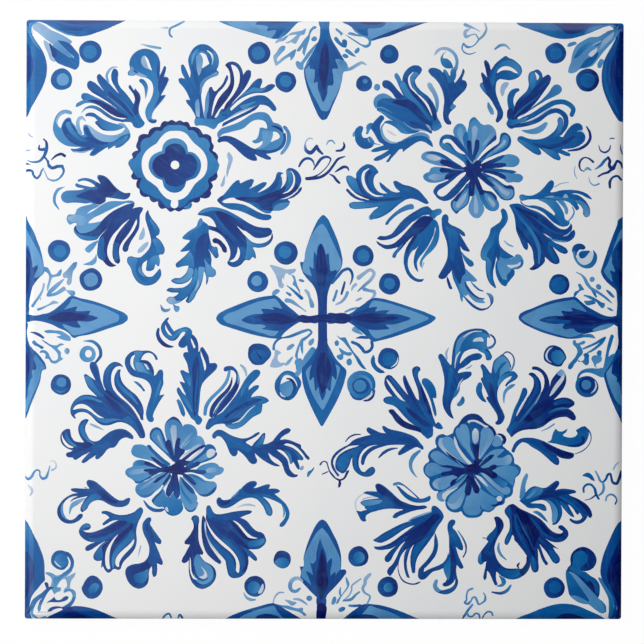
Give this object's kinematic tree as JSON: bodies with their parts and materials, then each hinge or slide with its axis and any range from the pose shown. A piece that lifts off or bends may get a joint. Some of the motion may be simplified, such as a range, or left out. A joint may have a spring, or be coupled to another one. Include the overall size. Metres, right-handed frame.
{
  "type": "azulejo wall tile",
  "caption": "Square glazed earthenware wall tile with a cushion edge, a blue and white painted star and rosette pattern, and a keyed back.",
  "frame": {"origin": "middle of the back, on the plane of its key ribs, where the tile lies on the floor or is bedded on a wall", "axes": "+Z out of the glazed face, +Y towards the top of the painted pattern, +X to its right"},
  "size_m": [0.1524, 0.1524, 0.007],
  "materials": {
    "glazed_tile": "glossy tin-white glaze painted in cobalt blue on the face and lip, bare buff earthenware on the lower sides and back"
  },
  "bodies": {
    "root": {"tile": "glazed_tile"}
  },
  "joints": []
}
